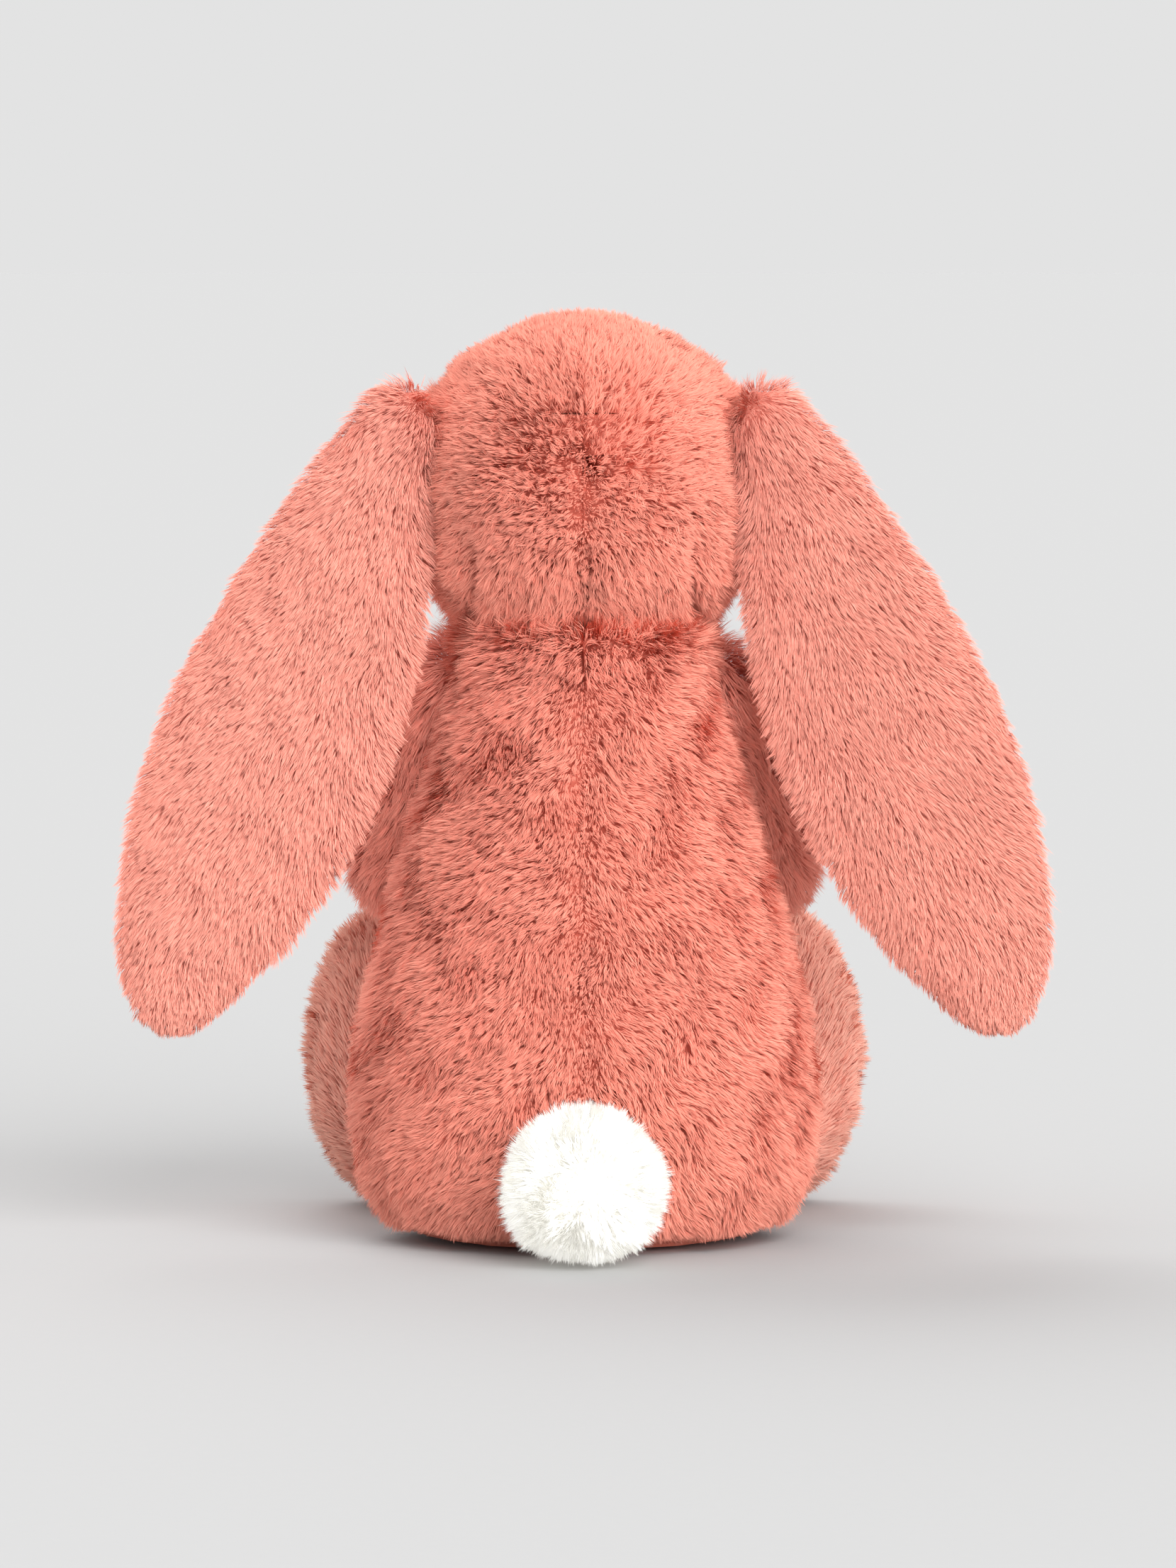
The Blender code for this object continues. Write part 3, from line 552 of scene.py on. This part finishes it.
lining = pile_finish("ear_lining_pile", root=(0.62, 0.17, 0.12), tip=(0.92, 0.46, 0.37), patchiness=0.08)
# A paler copy of the coral: painted light on the ears, which the lamps light more than the torso.
ear_painted_light = pile_finish("ear_pile_painted_light", root=(0.78, 0.23, 0.17), tip=(0.96, 0.425, 0.330), patchiness=0.16)
ear_nap = long_nap | {
    "per_mm2": 9.0, "length": 0.0052, "depth": ear_depth, "lean": 48, "width": 0.00020, "tuft": 6,
    "gather": 0.28, "sway": 10, "stray": 7,
}
lining_nap = short_nap | {"per_mm2": 5.0, "width": 0.00028, "depth": lining_depth}
for number, side in enumerate(("left", "right")):
    ear_form = form_tree(f"ear_back_{side}", f"ear_lining_{side}")
    coat = grow_coat(f"ear_back_{side}", ear_form, ear_painted_light, ear_nap, ear_comb, ear_trim, seed=30 + number)
    dress(coat, f"ear_{side}", [f"ear_back_{side}"])
    coat = grow_coat(f"ear_lining_{side}", ear_form, lining, lining_nap, ear_comb, seed=34 + number)
    dress(coat, f"ear_{side}", [f"ear_lining_{side}"])

# THE ARMS. Soft stuffed tubes of two panels each, sewn shut at the shoulder and tacked to the torso's side
# seam. They hang down the flanks, and the nap runs from the shoulder to the paw.
arm_nap = long_nap | {"per_mm2": 4.5, "length": 0.0074, "width": 0.00028, "depth": 0.0028, "lean": 42}
# A paler copy of the coral: painted light on the arms, which lie in the shade of the ears and the torso.
arm_painted_light = pile_finish("arm_pile_painted_light", root=(0.84, 0.20, 0.14), tip=(1.0, 0.44, 0.34), patchiness=0.08)
for number, (name, side) in enumerate((("left", 1), ("right", -1))):
    mirror = np.array((side, 1, 1))
    arm_panels = (f"arm_outer_{name}", f"arm_inner_{name}")
    arm_form = form_tree(*arm_panels)

    def arm_comb(places, way=20 * (PAW - SHOULDER) * mirror):
        return np.tile(way, (len(places), 1))

    def arm_trim(places):
        return 1.0 + 0.5 * eased(places[:, 2], 0.128, 0.146)

    for step, node in enumerate(arm_panels):
        seed = 40 + 4 * number + step
        coat = grow_coat(node, arm_form, arm_painted_light, arm_nap, arm_comb, arm_trim, seed)
        dress(coat, f"arm_{name}", [node])

# THE LEGS. Short stuffed limbs of two panels that end in tall upright feet, each closed by an oval sole of
# close plush. The nap starts at the heel, lies up and outwards over the foot, and stands up round the sole.
leg_nap = long_nap | {
    "per_mm2": 4.6, "length": 0.0056, "width": 0.00029, "depth": 0.0026, "lean": 46, "tuft": 5,
    "gather": 0.25, "sway": 12, "stray": 6,
}
sole_plush = pile_finish("sole_pile", root=(0.60, 0.17, 0.12), tip=(0.90, 0.42, 0.33), patchiness=0.10)
# A paler copy of the coral: painted light on the legs and feet, which lie in the shade of the torso.
foot_painted_light = pile_finish("foot_pile_painted_light", root=(0.95, 0.33, 0.25), tip=(1.0, 0.54, 0.42), patchiness=0.08)


def leg_trim(places):
    return np.minimum(1.0, 0.25 + eased(places[:, 2], 0.002, 0.008))


for number, (name, side) in enumerate((("left", 1), ("right", -1))):
    leg_panels = (f"leg_outer_{name}", f"leg_inner_{name}", f"sole_{name}")
    leg_form = form_tree(*leg_panels)

    def leg_comb(places, heel=np.array((side * 0.040, BODY_Y - 0.045, -0.010))):
        flow = (places - heel) / 0.02
        rim = eased(BODY_Y - places[:, 1], 0.066, 0.076)
        return unit(flow) * (1 - 0.7 * rim)[:, None]

    def sole_comb(places, middle=np.array((side * 0.050, 0.0, 0.050))):
        return (middle - places) * np.array((15.0, 0.0, 0.0)) + np.array((0.0, 0.0, -1.0))

    for step, node in enumerate(leg_panels[:2]):
        seed = 50 + 4 * number + step
        coat = grow_coat(node, leg_form, foot_painted_light, leg_nap, leg_comb, leg_trim, seed)
        dress(coat, f"leg_{name}", [node])
    coat = grow_coat(leg_panels[2], leg_form, sole_plush, short_nap, sole_comb, seed=60 + number)
    dress(coat, f"leg_{name}", [leg_panels[2]])

# THE TAIL. A gathered ball of long white pile round a wad of fibre, stitched low on the back seam. It has no
# nap to speak of: the tufts stand out all round, and the white pile has a faint painted glow, light of its own.
tail_nap = long_nap | {
    "per_mm2": 9.0, "length": 0.0068, "depth": 0.0040, "lean": 16, "curl": 12, "width": 0.00024, "tuft": 7,
    "gather": 0.26, "sway": 60, "stray": 35,
}
white = pile_finish(
    "white_pile_painted_glow", root=(0.97, 0.95, 0.88), tip=(1.0, 0.995, 0.97), patchiness=0.03, sheen=0.4,
)
painted_glow_shader = white.node_tree.nodes["Principled BSDF"]
# Painted glow: the white pile gives off a little light of its own, so it looks brighter than the lamps make it.
painted_glow_shader.inputs["Emission Color"].default_value = (1.0, 0.985, 0.94, 1.0)
painted_glow_shader.inputs["Emission Strength"].default_value = 0.20


def tail_comb(places):
    return 0.5 * np.stack([drift(places, 0.010, seed) for seed in (701, 702, 703)], 1)


def tail_trim(places):
    return 0.4 + 0.6 * eased(places[:, 2], 0.000, 0.012)


coat = grow_coat("tail_cover", form_tree("tail_cover"), white, tail_nap, tail_comb, tail_trim, seed=70)
dress(coat, "tail", ["tail_cover"])

# THE EYES. Each is one moulded piece of glossy black plastic, a dome on a ribbed shank that goes through the
# plush, and a white washer pushed on to the shank from inside, which grips the fabric against the dome.
DOME_RADIUS = 0.0048
DOME_SUNK = 0.0025
SHANK_RADIUS = 0.0016
SHANK_LENGTH = 0.011
RIB_RADIUS = 0.00015
RIB_PITCH = 0.0012
glossy = Finish("eye_plastic", Roughness=0.06, Coat_Weight=0.3, Coat_Roughness=0.02, Specular_IOR_Level=0.4)
glossy.shader.inputs["Base Color"].default_value = (0.006, 0.005, 0.005, 1.0)
dull = Finish("washer_plastic", Roughness=0.4)
cloudy = dull.noise(900.0)
dull.feed(dull.shader.inputs["Base Color"], dull.scaled((0.86, 0.85, 0.82), 0.94 + 0.06 * cloudy))
for name, place in zip(("left", "right"), eye_places):
    bpy.ops.object.select_all(action="DESELECT")
    bpy.ops.mesh.primitive_cylinder_add(
        vertices=24, radius=SHANK_RADIUS, depth=SHANK_LENGTH, location=(0, 0, -SHANK_LENGTH / 2),
    )
    shank = bpy.context.object
    for rib in range(4):
        bpy.ops.mesh.primitive_torus_add(
            major_segments=24, minor_segments=8, major_radius=SHANK_RADIUS, minor_radius=RIB_RADIUS,
            location=(0, 0, -0.0095 + RIB_PITCH * rib),
        )
    bpy.ops.mesh.primitive_uv_sphere_add(segments=40, ring_count=24, radius=DOME_RADIUS, location=(0, 0, 0))
    dome = bpy.context.object
    bpy.ops.object.mode_set(mode="EDIT")
    bpy.ops.mesh.bisect(plane_co=(0, 0, 0), plane_no=(0, 0, 1), clear_inner=True, use_fill=True)
    bpy.ops.mesh.select_all(action="SELECT")
    bpy.ops.transform.resize(value=(1.0, 1.0, 0.85), center_override=(0, 0, 0))
    bpy.ops.transform.translate(value=(0, 0, -DOME_SUNK))
    bpy.ops.object.mode_set(mode="OBJECT")
    for piece in bpy.context.scene.objects:
        if piece.name.startswith("Torus") or piece == shank:
            piece.select_set(True)
    bpy.ops.object.join()
    dome.name = f"eye_{name}_moulding"
    dome.data.materials.clear()
    dome.data.materials.append(glossy.material)
    out = Vector(place - HEAD_CENTRE)
    dome.matrix_world = Matrix.Translation(Vector(place)) @ out.to_track_quat("Z", "Y").to_matrix().to_4x4()
    bpy.ops.object.transform_apply(location=True, rotation=True, scale=True)
    bpy.ops.object.shade_smooth_by_angle(angle=math.radians(40))
    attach(dome, "head")
    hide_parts(f"eye_{name}")
    frame["nodes"][f"eye_washer_{name}"].material_slots[0].material = dull.material

# THE NOSE AND MOUTH. Embroidery, worked through the muzzle in dark rose cotton: a pad of satin stitches for
# the nose, and below it single twisted threads for the lip and the mouth, which catch the pile down.
NOSE_HALF = (0.0065, 0.0032, 0.0042)
STITCHES = 30


def tubes(name, paths, radius, material):
    """Round threads along paths of points, closed at their ends."""
    points, corners, starts = [], [], []
    ring = np.arange(6) * math.tau / 6
    for path in paths:
        path = np.asarray(path, float)
        along = unit(np.gradient(path, axis=0))
        side = unit(np.cross(along, np.array((0.0, 1.0, 0.02))))
        up = np.cross(side, along)
        base = sum(len(some) for some in points)
        tapered = radius * np.where((np.arange(len(path)) % (len(path) - 1)) == 0, 0.25, 1.0)
        wheel = side[:, None] * np.cos(ring)[:, None] + up[:, None] * np.sin(ring)[:, None]
        points.append((path[:, None] + wheel * tapered[:, None, None]).reshape(-1, 3))
        for step in range(len(path) - 1):
            for turn in range(6):
                here, there = base + 6 * step + turn, base + 6 * step + (turn + 1) % 6
                starts.append(len(corners))
                corners += [here, there, there + 6, here + 6]
        for first, order in ((base, range(5, -1, -1)), (base + 6 * (len(path) - 1), range(6))):
            starts.append(len(corners))
            corners += [first + turn for turn in order]
    return new_piece(name, np.concatenate(points), np.array(corners), np.array(starts), material)


def twisted(path, radius, pitch):
    """Two plies that wind round each other along a path."""
    path = np.asarray(path, float)
    reach = np.concatenate([[0.0], np.cumsum(np.linalg.norm(np.diff(path, axis=0), axis=1))])
    count = int(reach[-1] / pitch * 10)
    places = np.linspace(0, reach[-1], count)
    line = np.stack([np.interp(places, reach, path[:, axis]) for axis in range(3)], 1)
    along = unit(np.gradient(line, axis=0))
    side = unit(np.cross(along, np.array((0.0, 1.0, 0.02))))
    up = np.cross(side, along)
    angle = (places / pitch * math.tau)[:, None]
    shift = radius * 0.5 * (side * np.cos(angle) + up * np.sin(angle))
    return [line + shift, line - shift]


cotton = Finish("nose_cotton", Roughness=0.5, Specular_IOR_Level=0.25)
lie = cotton.noise(1500.0, detail=3.0)
cotton.feed(cotton.shader.inputs["Base Color"], cotton.scaled((0.30, 0.045, 0.050), 0.75 + 0.5 * lie))
stitches = []
for stitch in range(STITCHES):
    share = 2 * (stitch + 0.5) / STITCHES - 1
    middle = share * NOSE_HALF[0] * 0.98
    reach = NOSE_HALF[2] * math.sqrt(max(0.0, 1 - share**2 * 0.92))
    rows = []
    for step in range(9):
        slope = math.cos(math.pi * step / 8)
        high = nose_place[2] + reach * slope * (1 if slope < 0 else 0.85)
        x = middle * (1 + (high - nose_place[2]) / (3 * NOSE_HALF[2]))
        swell = 1 - (share**2 * 0.92) - (slope * reach / NOSE_HALF[2]) ** 2 * 0.92
        rows.append((x, nose_place[1] - 0.0002 - NOSE_HALF[1] * math.sqrt(max(0.0, swell)), high))
    stitches.append(rows)
pad = tubes("nose_stitches", stitches, 0.00030, cotton.material)
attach(pad, "head")
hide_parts("nose")

THREAD_LIFT = 0.0013
lip = [(0.0, 0.185 - 0.0015 * i) for i in range(5)]
smile = []
for i in range(-6, 7):
    bow = math.sin(math.pi * min(abs(i) / 5, 1.1) * 0.8)
    smile.append((0.0013 * i, 0.184 - 0.0072 - 0.0022 * bow))
for name, line in (("lip_thread", lip), ("mouth_thread", smile)):
    path = [(x, head_front(x, z) - THREAD_LIFT, z) for x, z in line]
    thread = tubes(name + "_plies", twisted(path, 0.0006, 0.0026), 0.00034, cotton.material)
    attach(thread, "head")
    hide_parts(name)

# THE FILLINGS. Wads of crimped polyester fibre, teased apart and pushed in by hand, so full of loose ends.
# Nothing fixes them but the covers round them; the neck is a firm wad between the torso and the head.
fibre = pile_finish("polyester_wad", root=(0.80, 0.79, 0.76), tip=(0.93, 0.93, 0.92), patchiness=0.10)
wad_nap = {
    "per_mm2": 0.6, "length": 0.0040, "width": 0.00026, "depth": 0.0022, "lean": 55, "curl": 40,
    "tuft": 9, "gather": 0.30, "sway": 80, "stray": 60, "soft": 0.6,
}


def wad_comb(places):
    return np.stack([drift(places, 0.009, seed) for seed in (801, 802, 803)], 1)


wads = [(body, f"{body}_stuffing") for body in ("torso", "neck", "head", "tail")]
for side in ("left", "right"):
    wads += [(f"arm_{side}", f"arm_stuffing_{side}"), (f"leg_{side}", f"leg_stuffing_{side}")]
for number, (body, node) in enumerate(wads):
    wad = grow_coat(node, form_tree(node), fibre, wad_nap, wad_comb, seed=80 + number)
    dress(wad, body, [node])

# THE PELLET POUCHES. Bags of plain woven cloth, sewn shut round plastic pellets that weigh the seat and the
# feet down. They lie loose in the filling, and the pellets show through the slack cloth as bumps.
cloth = Finish("pouch_cloth", Roughness=0.9, Specular_IOR_Level=0.2)
weave = cloth.noise(2600.0, detail=1.0)
cloth.feed(cloth.shader.inputs["Base Color"], cloth.scaled((0.62, 0.60, 0.56), 0.85 + 0.3 * weave))
cloth.bumped(weave, distance=0.0002)
pellets = bpy.data.textures.new("pellets", "VORONOI")
pellets.noise_scale = 0.0035  # a pellet's width
for body, node in (
    ("torso", "seat_bean_bag"), ("leg_left", "foot_bean_bag_left"), ("leg_right", "foot_bean_bag_right"),
):
    points, faces = panel_mesh(node)
    pouch = new_piece(node + "_cloth", points, faces.ravel(), 3 * np.arange(len(faces)), cloth.material)
    bpy.ops.object.select_all(action="DESELECT")
    bpy.context.view_layer.objects.active = pouch
    pouch.select_set(True)
    rounded = pouch.modifiers.new("rounded", "SUBSURF")
    rounded.levels = 3
    rounded.render_levels = 3
    bpy.ops.object.modifier_apply(modifier=rounded.name)
    bumps = pouch.modifiers.new("bumps", "DISPLACE")
    bumps.texture = pellets
    bumps.strength = -0.0008
    bumps.mid_level = 0.0
    bpy.ops.object.modifier_apply(modifier=bumps.name)
    dress(pouch, body, [node])

# THE STUDIO. A pale floor that runs to the horizon, an even grey sky of soft light, and two broad lamps: the
# stronger one shines down on the bunny's back, and the weaker one on its front.
bpy.ops.object.select_all(action="DESELECT")
bpy.ops.mesh.primitive_circle_add(vertices=96, radius=12.0, fill_type="NGON", location=(0, 0, 0))
floor = bpy.context.object
floor.name = "studio_floor"
paper = Finish("studio_paper", Roughness=0.9, Specular_IOR_Level=0.0)
grain = paper.noise(300.0)
paper.feed(paper.shader.inputs["Base Color"], paper.scaled((0.494, 0.494, 0.494), 0.99 + 0.02 * grain))
floor.data.materials.append(paper.material)
floor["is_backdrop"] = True

world = bpy.data.worlds.new("studio_sky")
bpy.context.scene.world = world
world.use_nodes = True
world.node_tree.nodes["Background"].inputs["Color"].default_value = (0.768, 0.768, 0.768, 1.0)
world.node_tree.nodes["Background"].inputs["Strength"].default_value = 1.0
for name, strength, width, towards in (
    ("main_lamp", 3.2, 50, (0.45, -0.95, -0.50)),
    ("front_lamp", 2.0, 60, (-0.4, 0.8, -0.6)),
):
    lamp = bpy.data.lights.new(name, "SUN")
    lamp.energy = strength
    lamp.angle = math.radians(width)
    holder = bpy.data.objects.new(name, lamp)
    holder.rotation_euler = Vector(towards).to_track_quat("-Z", "Y").to_euler()
    bpy.context.scene.collection.objects.link(holder)

camera = bpy.data.objects.new("camera", bpy.data.cameras.new("camera"))
bpy.context.scene.collection.objects.link(camera)
camera.data.lens = 223.0
aim, away, raised = Vector((-0.0010, 0.0, 0.1170)), 2.5, math.radians(4.2)
camera.location = aim + away * Vector((0.0, math.cos(raised), math.sin(raised)))
camera.rotation_euler = (aim - camera.location).to_track_quat("-Z", "Y").to_euler()
bpy.context.scene.camera = camera
bpy.context.scene.view_settings.view_transform = "Standard"

low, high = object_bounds()
